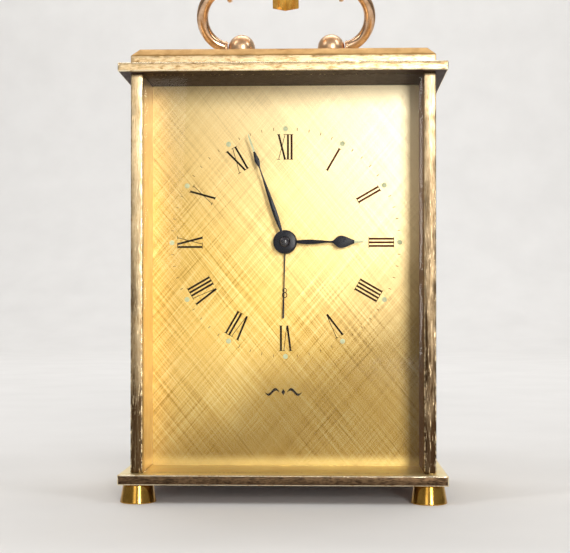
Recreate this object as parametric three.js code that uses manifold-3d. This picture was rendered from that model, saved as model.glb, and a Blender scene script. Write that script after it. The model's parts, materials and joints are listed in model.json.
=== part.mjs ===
// Brass eight-day alarm carriage clock: case, folding handle, hands, going train, alarm train and keys.
// Millimetres. X to the right, Y from the front to the back, Z up. Origin under the centre of the base.

import * as THREE from "three";
import { ConvexGeometry } from "three/addons/geometries/ConvexGeometry.js";
import { mergeVertices } from "three/addons/utils/BufferGeometryUtils.js";
import Module from "manifold-3d";

const wasm = await Module();
wasm.setup();

// ---------------------------------------------------------------- driving dimensions

const DEG = Math.PI / 180;
const PLATE_WIDTH = 88;
const PLATE_DEPTH = 56;
const FOOT_HEIGHT = 5;
const BASE_THICKNESS = 2.8;
const WALL_HEIGHT = 107.45;
const WALL_THICKNESS = 3.3;
const WALL_SETBACK = 3.2;
const BODY_WIDTH = 82;
const SLAB_THICKNESS = 2.4;
const CAP_FACE = 2.5;
const CAP_CHAMFER = 2.15;
const CLEARANCE = 0.3;

const BASE_TOP = FOOT_HEIGHT + BASE_THICKNESS;
const WALL_TOP = BASE_TOP + WALL_HEIGHT;
const SLAB_TOP = WALL_TOP + SLAB_THICKNESS;
const CAP_SHOULDER = SLAB_TOP + CAP_FACE;
const CAP_TOP = CAP_SHOULDER + CAP_CHAMFER;
const INNER_HALF = BODY_WIDTH / 2 - WALL_THICKNESS;
const BODY_DEPTH = PLATE_DEPTH - 2 * WALL_SETBACK;
const FOOT_TOP_RADIUS = 4.05;
const FOOT_RADIUS = 4.9;

// Levels along Y, from the glass to the rear cover.
const GLASS = [-23.5, -22.3];
const DIAL = [-7.4, -6.6];
const FRONT_PLATE = [-2.6, -1.4];
const REAR_PLATE = [12, 13.4];
const COVER = [17.5, 18.7];
const HAND_NUT = [-12.6, -11.6];
const MINUTE_HAND = [-11.6, -11.1];
const HOUR_HAND = [-10.4, -9.9];
const ALARM_HAND = [-9.1, -8.7];
const ALARM_SET_LAYER = [-6.1, -5.3];
const HOUR_LAYER = [-4.9, -4.2];
const CANNON_LAYER = [-3.8, -3.1];
const CENTRE_WHEEL_LAYER = [0, 0.8];
const DRUM = [2, 9];
const BARREL_TEETH = [6, 7.6];
const ESCAPE_LAYER = [4, 4.7];
const BALANCE_LAYER = [7.9, 9.1];
const THIRD_WHEEL_LAYER = [9.8, 10.6];
const HAIRSPRING_LAYER = [10.2, 10.8];
const ARBOR_SPAN = [-1.1, 11.7];
const REGULATOR_LAYER = [13.8, 14.6];
const HAMMER_LAYER = [14.4, 15.2];
const CONTROL_START = COVER[1] + 0.6;
const KEY_FLANGE = [COVER[1] + 0.3, COVER[1] + 1.3];

// Tooth counts and modules of the wheels; every pair that meshes shares a module.
const TEETH = {
  pinion: 8, barrel: 30, centre: 32, third: 28, alarmTrain: 20,
  alarmSet: 24, hour: 28, hourPinion: 7, minute: 24,
};
const CANNON_MODULE = 0.625;
const HOUR_MODULE = 4 / 7;
const ALARM_SET_MODULE = 0.75;
const BARREL_MODULE = 0.8;
const TRAIN_MODULE = 0.55;

// Places in the plane of the dial, as [x, z], and bearings in degrees from +X towards +Z.
const DIAL_CENTRE_Z = 70.8;
const CENTRE = [0, DIAL_CENTRE_Z];
const TIME_BARREL_BEARING = 200;
const THIRD_BEARING = 60;
const ESCAPE_BEARING = 110;
const ALARM_TRAIN_BEARING = 70;
const BALANCE_BEARING = 138;
const BARREL_DISTANCE = meshDistance(TEETH.barrel, TEETH.pinion, BARREL_MODULE);
const MOTION_STUD = away(CENTRE, meshDistance(TEETH.hour, TEETH.hourPinion, HOUR_MODULE), 90);
const ALARM_SET = away(CENTRE, meshDistance(TEETH.alarmSet, TEETH.pinion, ALARM_SET_MODULE), 270);
const TIME_BARREL = away(CENTRE, BARREL_DISTANCE, TIME_BARREL_BEARING);
const ALARM_BARREL = [16, 60];
const ALARM_TRAIN = away(ALARM_BARREL, BARREL_DISTANCE, ALARM_TRAIN_BEARING);
const THIRD = away(CENTRE, meshDistance(TEETH.centre, TEETH.pinion, TRAIN_MODULE), THIRD_BEARING);
const ESCAPE = away(THIRD, meshDistance(TEETH.third, TEETH.pinion, TRAIN_MODULE), ESCAPE_BEARING);
const PALLET = away(ESCAPE, 6.6, BALANCE_BEARING);
const BALANCE = away(ESCAPE, 14.6, BALANCE_BEARING);
const BELL = [14, 93];
const HAMMER = [26.5, 77];
const STOP_BUTTON = [19, 103];
const PILLARS = {
  lower_left: [-27, 42], lower_right: [27, 42], upper_left: [-27, 104], upper_right: [27, 104],
};

// Handle, in its own upright plane: x across, height above the pivot line.
const HANDLE_LEAN = 25;
const POST_X = 13.1;
const PIVOT_HEIGHT = 5.3;
const BALL_RADIUS = 3.9;
const ARM_BEND_X = 15.3;
const ARM_BEND_RADIUS = 8.7;
const ARM_RADIUS = 1.65;
const GRIP_HEIGHT = 2 * ARM_BEND_RADIUS;
const COLLAR_RADIUS = 4.3;
const COLLAR_WIDTH = 1.7;
const BLOCK_SIDE = 5.4;
const BLOCK_LENGTH = 12.2;

// Hands, as lengths from the dial centre.
const HUB_RADIUS = 3.35;
const MINUTE_LENGTH = 32;
const HOUR_LENGTH = 22.3;
const ALARM_LENGTH = 21.5;
const MINUTE_ANGLE = -18.9;
const HOUR_ANGLE = 90;
const ALARM_ANGLE = 181.5;

// ---------------------------------------------------------------- materials

const metal = (color, roughness) => new THREE.MeshStandardMaterial({ color, roughness, metalness: 1 });
const brushedBrass = metal(0xc2a878, 0.42);
const polishedBrass = metal(0xc98f45, 0.18);
const dialGold = metal(0xe2ba68, 0.35);
const darkBrass = metal(0x8f7440, 0.45);
const bluedSteel = metal(0x10141f, 0.22);
const steel = metal(0xa8a9ab, 0.3);
const springSteel = metal(0x3b4656, 0.3);
const glassClear = new THREE.MeshStandardMaterial({
  color: 0xffffff, roughness: 0.03, metalness: 0, transparent: true, opacity: 0.15,
});

// ---------------------------------------------------------------- geometry helpers

function away([x, z], distance, degrees) {
  return [x + distance * Math.cos(degrees * DEG), z + distance * Math.sin(degrees * DEG)];
}

function meshDistance(teeth, otherTeeth, module) {
  return ((teeth + otherTeeth) / 2) * module;
}

function positionsOnly(geometry) {
  const bare = geometry.clone();
  bare.deleteAttribute("normal");
  bare.deleteAttribute("uv");
  return mergeVertices(bare, 1e-4);
}

function solid(geometry) {
  const merged = positionsOnly(geometry);
  return new wasm.Manifold(new wasm.Mesh({
    numProp: 3,
    vertProperties: new Float32Array(merged.attributes.position.array),
    triVerts: new Uint32Array(merged.index.array),
  }));
}

function geometryOf(manifold) {
  const { vertProperties, triVerts } = manifold.getMesh();
  const geometry = new THREE.BufferGeometry();
  geometry.setAttribute("position", new THREE.BufferAttribute(vertProperties, 3));
  geometry.setIndex(new THREE.BufferAttribute(triVerts, 1));
  geometry.computeVertexNormals();
  return geometry;
}

function join(...geometries) {
  return geometryOf(geometries.map(solid).reduce((whole, piece) => whole.add(piece)));
}

function cut(geometry, ...tools) {
  return geometryOf(tools.map(solid).reduce((left, tool) => left.subtract(tool), solid(geometry)));
}

// A block between two corners.
function block([x0, x1], [y0, y1], [z0, z1]) {
  const geometry = new THREE.BoxGeometry(x1 - x0, y1 - y0, z1 - z0);
  return geometry.translate((x0 + x1) / 2, (y0 + y1) / 2, (z0 + z1) / 2);
}

// An outline in x and z, made into a plate between two levels of y.
function plate(shape, [front, back], curveSegments = 10) {
  const depth = back - front;
  const geometry = new THREE.ExtrudeGeometry(shape, { depth, bevelEnabled: false, curveSegments });
  return geometry.rotateX(Math.PI / 2).translate(0, back, 0);
}

// A turned piece about the Y axis, or about a line parallel to it; the profile is [radius, y].
function turned(profile, [x, z] = [0, 0], segments = 16) {
  const geometry = new THREE.LatheGeometry(profile.map(([r, y]) => new THREE.Vector2(r, y)), segments);
  return geometry.translate(x, 0, z);
}

function turnedUpright(profile, segments = 16) {
  return turned(profile, [0, 0], segments).rotateX(Math.PI / 2);
}

function turnedAcross(profile, segments = 16) {
  return turned(profile, [0, 0], segments).rotateZ(-Math.PI / 2);
}

// A plain rod about a line parallel to Y.
function rod(radius, [front, back], place = [0, 0], segments = 8) {
  return turned([[0, front], [radius, front], [radius, back], [0, back]], place, segments);
}

// A tube or ring about a line parallel to Y.
function sleeve(inner, outer, [front, back], place = [0, 0], segments = 12) {
  const section = [[inner, front], [outer, front], [outer, back], [inner, back], [inner, front]];
  return turned(section, place, segments);
}

function circle(radius, [x, y] = [0, 0]) {
  const path = new THREE.Path();
  path.absarc(x, y, radius, 0, 2 * Math.PI, true);
  return path;
}

// Outline of a toothed wheel whose first tooth points at firstTooth degrees.
function gearShape(teeth, module, firstTooth = 0) {
  const pitch = (2 * Math.PI) / teeth;
  const radius = (teeth * module) / 2;
  const corners = [[-1.05, -0.3], [0.75, -0.1], [0.75, 0.1], [-1.05, 0.3]];
  const points = Array.from({ length: teeth }, (_, tooth) => corners.map(([height, side]) => {
    const angle = firstTooth * DEG + (tooth + side) * pitch;
    const reach = radius + height * module;
    return new THREE.Vector2(reach * Math.cos(angle), reach * Math.sin(angle));
  }));
  return new THREE.Shape(points.flat());
}

function gear(teeth, module, layer, [x, z], firstTooth = 0, bore = 0) {
  const shape = gearShape(teeth, module, firstTooth);
  if (bore > 0) shape.holes.push(circle(bore));
  return plate(shape, layer).translate(x, 0, z);
}

// The first-tooth angle that puts a gap towards the given bearing.
const gapAt = (teeth, bearing) => bearing + 180 / teeth;

// ---------------------------------------------------------------- assembly

const clock = new THREE.Group();
clock.name = "carriage_clock";

function add(name, geometry, material, parent = clock) {
  const mesh = new THREE.Mesh(geometry, material);
  mesh.name = name;
  parent.add(mesh);
  return mesh;
}

function addCase() {
  const halfWidth = PLATE_WIDTH / 2;
  const halfDepth = PLATE_DEPTH / 2;
  const bodyHalf = BODY_WIDTH / 2;
  const bodyDepthHalf = BODY_DEPTH / 2;
  const plateAcross = [-halfWidth, halfWidth];
  const plateDeep = [-halfDepth, halfDepth];
  const bodyDeep = [-bodyDepthHalf, bodyDepthHalf];
  const wallUpright = [BASE_TOP, WALL_TOP];
  add("base_plate", block(plateAcross, plateDeep, [FOOT_HEIGHT, BASE_TOP]), brushedBrass);
  add("side_wall_left", block([-bodyHalf, -INNER_HALF], bodyDeep, wallUpright), brushedBrass);
  add("side_wall_right", block([INNER_HALF, bodyHalf], bodyDeep, wallUpright), brushedBrass);
  add("top_slab", block(plateAcross, plateDeep, [WALL_TOP, SLAB_TOP]), brushedBrass);
  add("top_cap", capGeometry(bodyHalf, bodyDepthHalf), brushedBrass);
  add("front_glass", block([-INNER_HALF, INNER_HALF], GLASS, wallUpright), glassClear);
}

function capGeometry(halfWidth, halfDepth) {
  const levels = [[SLAB_TOP, 0], [CAP_SHOULDER, 0], [CAP_TOP, CAP_CHAMFER]];
  const corners = levels.flatMap(([z, inset]) => [-1, 1].flatMap((sideX) => [-1, 1].map((sideY) => (
    new THREE.Vector3(sideX * (halfWidth - inset), sideY * (halfDepth - inset), z)
  ))));
  return new ConvexGeometry(corners);
}

function addFeet() {
  const edge = 0.15;
  const profile = [[0, 0], [FOOT_RADIUS - edge, 0], [FOOT_RADIUS, edge], [FOOT_TOP_RADIUS, FOOT_HEIGHT]];
  const foot = turnedUpright([...profile, [0, FOOT_HEIGHT]], 20);
  const places = { front_left: [-1, -1], front_right: [1, -1], rear_left: [-1, 1], rear_right: [1, 1] };
  for (const [name, [sideX, sideY]] of Object.entries(places)) {
    const mesh = add(`foot_${name}`, foot, polishedBrass);
    mesh.position.set(sideX * (PLATE_WIDTH / 2 - FOOT_RADIUS), sideY * (PLATE_DEPTH / 2 - FOOT_RADIUS), 0);
  }
}

function addHandlePosts() {
  const balls = 7;
  const neckRadius = 1.9;
  const start = Math.asin(neckRadius / BALL_RADIUS);
  const dome = Array.from({ length: balls + 1 }, (_, i) => {
    const angle = start + ((Math.PI - start) * i) / balls;
    return [Math.max(0, BALL_RADIUS * Math.sin(angle)), PIVOT_HEIGHT - BALL_RADIUS * Math.cos(angle)];
  });
  const profile = [[0, 0], [3.4, 0], [3.4, 0.6], [2.3, 1.1], [neckRadius, 1.6], ...dome];
  const post = turnedUpright(profile, 16);
  const socket = turnedAcross([[0, 0.6], [1.4, 0.6], [1.4, 5], [0, 5]], 10).translate(0, 0, PIVOT_HEIGHT);
  for (const [name, side] of [["left", -1], ["right", 1]]) {
    const hole = side > 0 ? socket : socket.clone().rotateZ(Math.PI);
    const mesh = add(`handle_post_${name}`, cut(post, hole), polishedBrass);
    mesh.position.set(side * POST_X, 0, CAP_TOP);
  }
}

// Half a turn of rod in the plane of the handle, between the ball post and the grip.
class ArmBend extends THREE.Curve {
  constructor(side, sweep) {
    super();
    this.side = side;
    this.sweep = sweep;
  }

  getPoint(t, target = new THREE.Vector3()) {
    const angle = (2 * t - 1) * this.sweep;
    const x = this.side * (ARM_BEND_X + ARM_BEND_RADIUS * Math.cos(angle));
    return target.set(x, 0, ARM_BEND_RADIUS + ARM_BEND_RADIUS * Math.sin(angle));
  }
}

function armGeometry(side) {
  const reach = POST_X + BALL_RADIUS + 0.5;
  const sweep = Math.PI / 2 - Math.asin((reach - ARM_BEND_X) / ARM_BEND_RADIUS);
  const section = new THREE.Shape().absarc(0, 0, ARM_RADIUS, 0, 2 * Math.PI);
  const bend = new THREE.ExtrudeGeometry(section, {
    steps: 14, curveSegments: 5, bevelEnabled: false, extrudePath: new ArmBend(side, sweep),
  });
  const collarStart = POST_X + BALL_RADIUS + CLEARANCE;
  const pivot = [[0, POST_X + 1.2], [1, POST_X + 1.2], [1, collarStart], [2.1, collarStart]];
  const collar = [[2.3, collarStart + 0.3], [2.1, collarStart + 1], [0, collarStart + 1]];
  const pin = turnedAcross([...pivot, ...collar], 12);
  return join(bend, side > 0 ? pin : pin.rotateZ(Math.PI));
}

function gripGeometry() {
  const end = POST_X + BALL_RADIUS - 0.2;
  const collar = end - COLLAR_WIDTH;
  const edge = 0.4;
  const collarHalf = [[COLLAR_RADIUS - edge, end], [COLLAR_RADIUS, end - edge],
    [COLLAR_RADIUS, collar + edge], [COLLAR_RADIUS - edge, collar]];
  const taper = [[1.9, collar - 0.3], [1.9, collar - 1.6], [2.4, 9.6], [2.9, 6.6], [3.1, 4.4]];
  const half = [...collarHalf, ...taper];
  const mirrored = half.map(([r, x]) => [r, -x]);
  const bar = turnedAcross([[0, -end], ...mirrored, ...half.reverse(), [0, end]], 14);
  const centreBlock = new THREE.BoxGeometry(BLOCK_SIDE, BLOCK_SIDE, BLOCK_LENGTH).rotateZ(45 * DEG);
  return join(bar, centreBlock).translate(0, 0, GRIP_HEIGHT);
}

function addHandle() {
  const handle = new THREE.Group();
  handle.position.set(0, 0, CAP_TOP + PIVOT_HEIGHT);
  handle.rotation.x = HANDLE_LEAN * DEG;
  clock.add(handle);
  add("handle_arm_left", armGeometry(-1), polishedBrass, handle);
  add("handle_arm_right", armGeometry(1), polishedBrass, handle);
  add("handle_grip", gripGeometry(), polishedBrass, handle);
}

function addDial() {
  const outline = new THREE.Shape();
  outline.moveTo(-INNER_HALF, BASE_TOP);
  outline.lineTo(INNER_HALF, BASE_TOP);
  outline.lineTo(INNER_HALF, WALL_TOP);
  outline.lineTo(-INNER_HALF, WALL_TOP);
  outline.holes.push(circle(2.7, CENTRE));
  add("dial_plate", plate(outline, DIAL), dialGold);
}

// A flat hand drawn upright from its hub, turned clockwise as the dial is read.
function hand(outline, hubRadius, bore, layer, clockwise) {
  const blade = new THREE.Shape([...outline, ...outline.map(([x, z]) => [-x, z]).reverse()]
    .map(([x, z]) => new THREE.Vector2(x, z)));
  const hub = bore > 0 ? sleeve(bore, hubRadius, layer, [0, 0], 20) : rod(hubRadius, layer, [0, 0], 20);
  const joined = join(plate(blade, layer), hub);
  const bored = bore > 0 ? cut(joined, rod(bore, [layer[0] - 1, layer[1] + 1], [0, 0], 12)) : joined;
  return bored.rotateY(clockwise * DEG).translate(CENTRE[0], 0, CENTRE[1]);
}

function addHands() {
  const minute = [[0.3, 1], [0.55, 5.5], [0.68, 8.5], [0.5, 14], [0.22, 21.9], [0.7, 24],
    [0.25, 26.6], [0.2, MINUTE_LENGTH - 0.8], [0.08, MINUTE_LENGTH]];
  const hour = [[0.3, 1], [0.65, 7], [0.5, 10], [0.26, 13.2], [0.9, 14.2], [1.74, 15.5], [1.4, 17],
    [0.6, 18.8], [0.25, 20], [0.08, HOUR_LENGTH]];
  const alarm = [[0.2, 1], [0.16, 8], [0.26, ALARM_LENGTH]];
  add("minute_hand", hand(minute, HUB_RADIUS - 0.15, 0, MINUTE_HAND, MINUTE_ANGLE), bluedSteel);
  add("hour_hand", hand(hour, HUB_RADIUS, 1, HOUR_HAND, HOUR_ANGLE), bluedSteel);
  add("alarm_hand", hand(alarm, HUB_RADIUS - 0.4, 1.8, ALARM_HAND, ALARM_ANGLE), bluedSteel);
  const dome = [[0, HAND_NUT[0]], [0.9, HAND_NUT[0] + 0.15], [1.4, HAND_NUT[0] + 0.6], [1.5, HAND_NUT[1]]];
  add("hand_nut", turned([...dome, [0, HAND_NUT[1]]], CENTRE), bluedSteel);
}

function addMotionWork() {
  const minutePinion = gear(TEETH.hourPinion, HOUR_MODULE, HOUR_LAYER, MOTION_STUD, 270);
  const minuteWheel = gear(TEETH.minute, CANNON_MODULE, CANNON_LAYER, MOTION_STUD, 270);
  const tube = rod(1.4, [HOUR_LAYER[1] - 0.2, CANNON_LAYER[0] + 0.2], MOTION_STUD);
  const bore = rod(0.9, [HOUR_LAYER[0] - 1, CANNON_LAYER[1] + 1], MOTION_STUD);
  add("minute_wheel", cut(join(minutePinion, minuteWheel, tube), bore), darkBrass);
  add("motion_stud", rod(0.6, [HOUR_LAYER[0], FRONT_PLATE[0]], MOTION_STUD), steel);

  const hourWheel = gear(TEETH.hour, HOUR_MODULE, HOUR_LAYER, CENTRE, gapAt(TEETH.hour, 90), 1);
  const hourPipe = sleeve(1, 1.5, [HOUR_HAND[1], HOUR_LAYER[1]], CENTRE);
  add("hour_wheel", cut(join(hourWheel, hourPipe), rod(1, [HOUR_HAND[1] - 1, 0], CENTRE)), darkBrass);

  const alarmWheel = gear(TEETH.alarmSet, ALARM_SET_MODULE, ALARM_SET_LAYER, CENTRE, 270, 1.8);
  const alarmPipe = sleeve(1.8, 2.3, [ALARM_HAND[1], ALARM_SET_LAYER[1]], CENTRE);
  const alarmBore = rod(1.8, [ALARM_HAND[1] - 1, 0], CENTRE);
  add("alarm_wheel", cut(join(alarmWheel, alarmPipe), alarmBore), darkBrass);

  const pinionGap = gapAt(TEETH.pinion, 90);
  const setPinion = gear(TEETH.pinion, ALARM_SET_MODULE, ALARM_SET_LAYER, ALARM_SET, pinionGap);
  const setArbor = rod(0.8, [ALARM_SET_LAYER[0], CONTROL_START], ALARM_SET);
  add("alarm_set_arbor", join(setPinion, setArbor), steel);
}

function addCentreArbor() {
  const leaves = TEETH.pinion;
  const shaft = rod(0.7, [MINUTE_HAND[1], CONTROL_START], CENTRE);
  const cannonPinion = gear(leaves, CANNON_MODULE, CANNON_LAYER, CENTRE, gapAt(leaves, 90));
  const wheelGap = gapAt(TEETH.centre, THIRD_BEARING);
  const centreWheel = gear(TEETH.centre, TRAIN_MODULE, CENTRE_WHEEL_LAYER, CENTRE, wheelGap);
  const pinionGap = gapAt(leaves, TIME_BARREL_BEARING);
  const centrePinion = gear(leaves, BARREL_MODULE, BARREL_TEETH, CENTRE, pinionGap);
  add("centre_arbor", join(shaft, cannonPinion, centreWheel, centrePinion), steel);
}

function addTrain() {
  const leaves = TEETH.pinion;
  const thirdPinion = gear(leaves, TRAIN_MODULE, CENTRE_WHEEL_LAYER, THIRD, THIRD_BEARING + 180);
  const wheelGap = gapAt(TEETH.third, ESCAPE_BEARING);
  const thirdWheel = gear(TEETH.third, TRAIN_MODULE, THIRD_WHEEL_LAYER, THIRD, wheelGap);
  add("third_wheel", join(rod(0.6, ARBOR_SPAN, THIRD), thirdPinion, thirdWheel), darkBrass);
  const escapePinion = gear(leaves, TRAIN_MODULE, THIRD_WHEEL_LAYER, ESCAPE, ESCAPE_BEARING + 180);
  add("escape_wheel", join(rod(0.6, ARBOR_SPAN, ESCAPE), escapePinion, escapeWheelGeometry()), darkBrass);
  add("pallet_fork", palletForkGeometry(), steel);
  add("balance_wheel", balanceGeometry(), darkBrass);
  add("hairspring", spiral([1.2, 4.6], 4, 0.12, HAIRSPRING_LAYER, BALANCE), springSteel);
}

// Fifteen pointed teeth, all leaning the same way.
function escapeWheelGeometry() {
  const teeth = 15;
  const points = Array.from({ length: teeth }, (_, tooth) => {
    const angle = (tooth * 2 * Math.PI) / teeth;
    return [[3.2, 0], [4.2, 0.02], [4.2, 0.06], [3.3, 0.22]].map(([radius, turn]) => (
      new THREE.Vector2(radius * Math.cos(angle + turn), radius * Math.sin(angle + turn))
    ));
  });
  return plate(new THREE.Shape(points.flat()), ESCAPE_LAYER).translate(ESCAPE[0], 0, ESCAPE[1]);
}

// Lever with two pallets, drawn with the escape wheel below it and the balance above it.
function palletForkGeometry() {
  const anchor = [[-3.6, -2.2], [-2.9, -2.2], [-2.2, -0.9], [2.2, -0.9], [2.9, -2.2], [3.6, -2.2], [3, 0]];
  const lever = [[0.6, 0.5], [0.4, 4.8], [1, 6.2], [0.5, 6.2], [0, 5.4],
    [-0.5, 6.2], [-1, 6.2], [-0.4, 4.8]];
  const corners = [...anchor, ...lever, [-0.6, 0.5], [-3, 0]];
  const outline = new THREE.Shape(corners.map(([x, z]) => new THREE.Vector2(x, z)));
  const body = join(plate(outline, ESCAPE_LAYER), rod(0.5, [ARBOR_SPAN[0], 6.6]));
  return body.rotateY((90 - BALANCE_BEARING) * DEG).translate(PALLET[0], 0, PALLET[1]);
}

function balanceGeometry() {
  const rim = sleeve(6.9, 7.8, BALANCE_LAYER, [0, 0], 20);
  const spoke = block([-7.2, 7.2], [BALANCE_LAYER[0] + 0.2, BALANCE_LAYER[1] - 0.2], [-0.5, 0.5]);
  return join(rim, spoke, rod(0.5, ARBOR_SPAN)).translate(BALANCE[0], 0, BALANCE[1]);
}

// A flat ribbon wound from an inner to an outer radius.
function spiral([inner, outer], turns, thickness, layer, [x, z]) {
  const steps = turns * 10;
  const edge = (offset) => Array.from({ length: steps + 1 }, (_, i) => {
    const angle = (i / steps) * turns * 2 * Math.PI;
    const radius = inner + (outer - inner) * (i / steps) + offset;
    return new THREE.Vector2(radius * Math.cos(angle), radius * Math.sin(angle));
  });
  const outline = new THREE.Shape([...edge(thickness / 2), ...edge(-thickness / 2).reverse()]);
  return plate(outline, layer).translate(x, 0, z);
}

// An open drum with a toothed rim, its lid and the spring inside it.
function addBarrel(name, place, firstTooth) {
  const [x, z] = place;
  const sheet = 0.8;
  const [inside, outside, bore] = [10, 10.8, 2];
  const floor = DRUM[0] + sheet;
  const rim = DRUM[1] - sheet;
  const teeth = gear(TEETH.barrel, BARREL_MODULE, BARREL_TEETH, [0, 0], firstTooth, inside);
  const section = [[inside, rim], [inside, floor], [bore, floor], [bore, DRUM[0]], [outside, DRUM[0]],
    [outside, rim], [inside, rim]];
  const drum = turned(section, [0, 0], 20);
  add(`${name}_barrel`, join(teeth, drum).translate(x, 0, z), darkBrass);
  add(`${name}_barrel_lid`, sleeve(bore, outside, [rim, DRUM[1]], place, 20), darkBrass);
  const ribbonLayer = [floor + CLEARANCE, rim - CLEARANCE];
  add(`${name}_mainspring`, spiral([3.2, 9.3], 3, 0.35, ribbonLayer, place), springSteel);
}

function addAlarmTrain() {
  const towardsBarrel = ALARM_TRAIN_BEARING + 180;
  const pinion = gear(TEETH.pinion, BARREL_MODULE, BARREL_TEETH, ALARM_TRAIN, towardsBarrel);
  const wheel = gear(TEETH.alarmTrain, TRAIN_MODULE, THIRD_WHEEL_LAYER, ALARM_TRAIN);
  add("alarm_train_wheel", join(rod(0.6, ARBOR_SPAN, ALARM_TRAIN), pinion, wheel), darkBrass);
  const bellRoot = REAR_PLATE[1];
  const stem = [[0, bellRoot], [1.4, bellRoot], [1.4, 16]];
  const shell = [...stem, [7.8, 15.1], [8.6, 14.2], [9, 14.2], [8.2, 15.6], [0, 16.8]];
  add("alarm_bell", turned(shell, BELL, 16), steel);
  const armLength = 15;
  const arm = block([-0.6, 0.6], HAMMER_LAYER, [0, armLength]);
  const head = rod(1.5, [HAMMER_LAYER[0] - 0.5, HAMMER_LAYER[1] + 0.6], [-0.6, armLength + 0.2], 14);
  const hub = rod(1.4, [HAMMER_LAYER[0] - 0.7, HAMMER_LAYER[1]]);
  add("alarm_hammer", join(arm, head, hub).translate(HAMMER[0], 0, HAMMER[1]), steel);
}

// Winding arbor, flange and hinge lug as one turned piece, with a wing that folds flat against it.
function addKey(name, [x, z]) {
  const lugHalf = 1;
  const pinY = COVER[1] + 3.2;
  const [start, end] = KEY_FLANGE;
  const root = ARBOR_SPAN[0];
  const section = [[0, root], [1.7, root], [1.7, start], [3.6, start], [3.6, end], [0, end]];
  const flange = turned(section, [0, 0], 20);
  const lug = block([-lugHalf, lugHalf], [end - CLEARANCE, pinY + 1.1], [-1.6, 1.6]);
  const pinHole = turnedAcross([[0, -5], [0.9, -5], [0.9, 5], [0, 5]], 12).translate(0, pinY, 0);
  add(`${name}_key`, cut(join(flange, lug), pinHole).translate(x, 0, z), polishedBrass);

  const inside = lugHalf + CLEARANCE;
  const outline = new THREE.Shape();
  outline.moveTo(inside, 1);
  outline.lineTo(2.6, 1);
  outline.bezierCurveTo(3.2, -3, 6.4, -3.6, 6.4, -6.6);
  outline.bezierCurveTo(6.4, -10.4, -6.4, -10.4, -6.4, -6.6);
  outline.bezierCurveTo(-6.4, -3.6, -3.2, -3, -2.6, 1);
  outline.lineTo(-inside, 1);
  outline.lineTo(-inside, -2.6);
  outline.lineTo(inside, -2.6);
  const wing = plate(outline, [pinY - 0.7, pinY + 0.7], 5);
  const pin = turnedAcross([[0, -2.6], [0.6, -2.6], [0.6, 2.6], [0, 2.6]], 10).translate(0, pinY, 0);
  add(`${name}_key_wing`, join(wing, pin).translate(x, 0, z), polishedBrass);
}

function addMovementFrame() {
  const half = 31;
  const bottom = 37;
  const top = 110;
  const sheet = () => {
    const shape = new THREE.Shape();
    shape.moveTo(-half, bottom);
    shape.lineTo(half, bottom);
    shape.lineTo(half, top);
    shape.lineTo(-half, top);
    for (const place of Object.values(PILLARS)) shape.holes.push(circle(2.3, place));
    shape.holes.push(circle(1.1, CENTRE), circle(1.1, ALARM_SET));
    return shape;
  };
  add("movement_front_plate", plate(sheet(), FRONT_PLATE, 6), darkBrass);
  const rear = sheet();
  rear.holes.push(circle(2, TIME_BARREL), circle(2, ALARM_BARREL));
  add("movement_rear_plate", plate(rear, REAR_PLATE, 6), darkBrass);
  const tapped = COVER[0] - 4;
  const profile = [[0, DIAL[1]], [2, DIAL[1]], [2, FRONT_PLATE[1]], [3, FRONT_PLATE[1]], [3, REAR_PLATE[0]],
    [2, REAR_PLATE[0]], [2, COVER[0]], [1.2, COVER[0]], [1.2, tapped], [0, tapped]];
  const tip = tapped + 0.5;
  const seat = COVER[1];
  const shank = [[0, tip], [0.9, tip], [0.9, seat]];
  const screw = [...shank, [2.2, seat], [2.2, seat + 0.7], [1.7, seat + 1.2], [0, seat + 1.2]];
  for (const [name, place] of Object.entries(PILLARS)) {
    add(`pillar_${name}`, turned(profile, place, 10), darkBrass);
    add(`cover_screw_${name}`, turned(screw, place, 12), steel);
  }
}

function addRearCover() {
  const shape = new THREE.Shape();
  shape.moveTo(-INNER_HALF, BASE_TOP);
  shape.lineTo(INNER_HALF, BASE_TOP);
  shape.lineTo(INNER_HALF, WALL_TOP);
  shape.lineTo(-INNER_HALF, WALL_TOP);
  for (const place of Object.values(PILLARS)) shape.holes.push(circle(1.2, place));
  shape.holes.push(circle(1.1, CENTRE), circle(1.1, ALARM_SET));
  shape.holes.push(circle(2, TIME_BARREL), circle(2, ALARM_BARREL));
  shape.holes.push(circle(2.5, STOP_BUTTON), regulatorSlot());
  add("rear_cover", plate(shape, COVER, 6), brushedBrass);
}

// Curved slot about the balance, wide enough for the regulator's tip over its whole travel.
function regulatorSlot() {
  const [x, z] = BALANCE;
  const slot = new THREE.Path();
  const reach = 27 * DEG;
  slot.absarc(x, z, 13.2, Math.PI - reach, Math.PI + reach, false);
  slot.absarc(x, z, 10.8, Math.PI + reach, Math.PI - reach, true);
  slot.closePath();
  return slot;
}

function addControls() {
  const lever = join(
    sleeve(1.4, 3, REGULATOR_LAYER),
    block([-12.6, -2.2], REGULATOR_LAYER, [-0.7, 0.7]),
    rod(0.8, [REGULATOR_LAYER[0] + 0.2, COVER[1] + 2], [-12, 0]),
  );
  add("regulator_lever", lever.translate(BALANCE[0], 0, BALANCE[1]), steel);
  const root = COVER[0] - 1.6;
  const tip = COVER[1] + 3.3;
  const button = [[0, root], [2.2, root], [2.2, tip - 0.7], [1.7, tip - 0.2], [0, tip]];
  add("alarm_stop_button", turned(button, STOP_BUTTON), steel);
  const start = CONTROL_START;
  const end = start + 4.8;
  const knob = [[0, start], [3.4, start], [4, start + 0.6], [4, end - 0.6], [3.4, end], [0, end]];
  add("hand_set_knob", turned(knob, CENTRE), polishedBrass);
  add("alarm_set_knob", turned(knob, ALARM_SET), polishedBrass);
}

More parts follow.
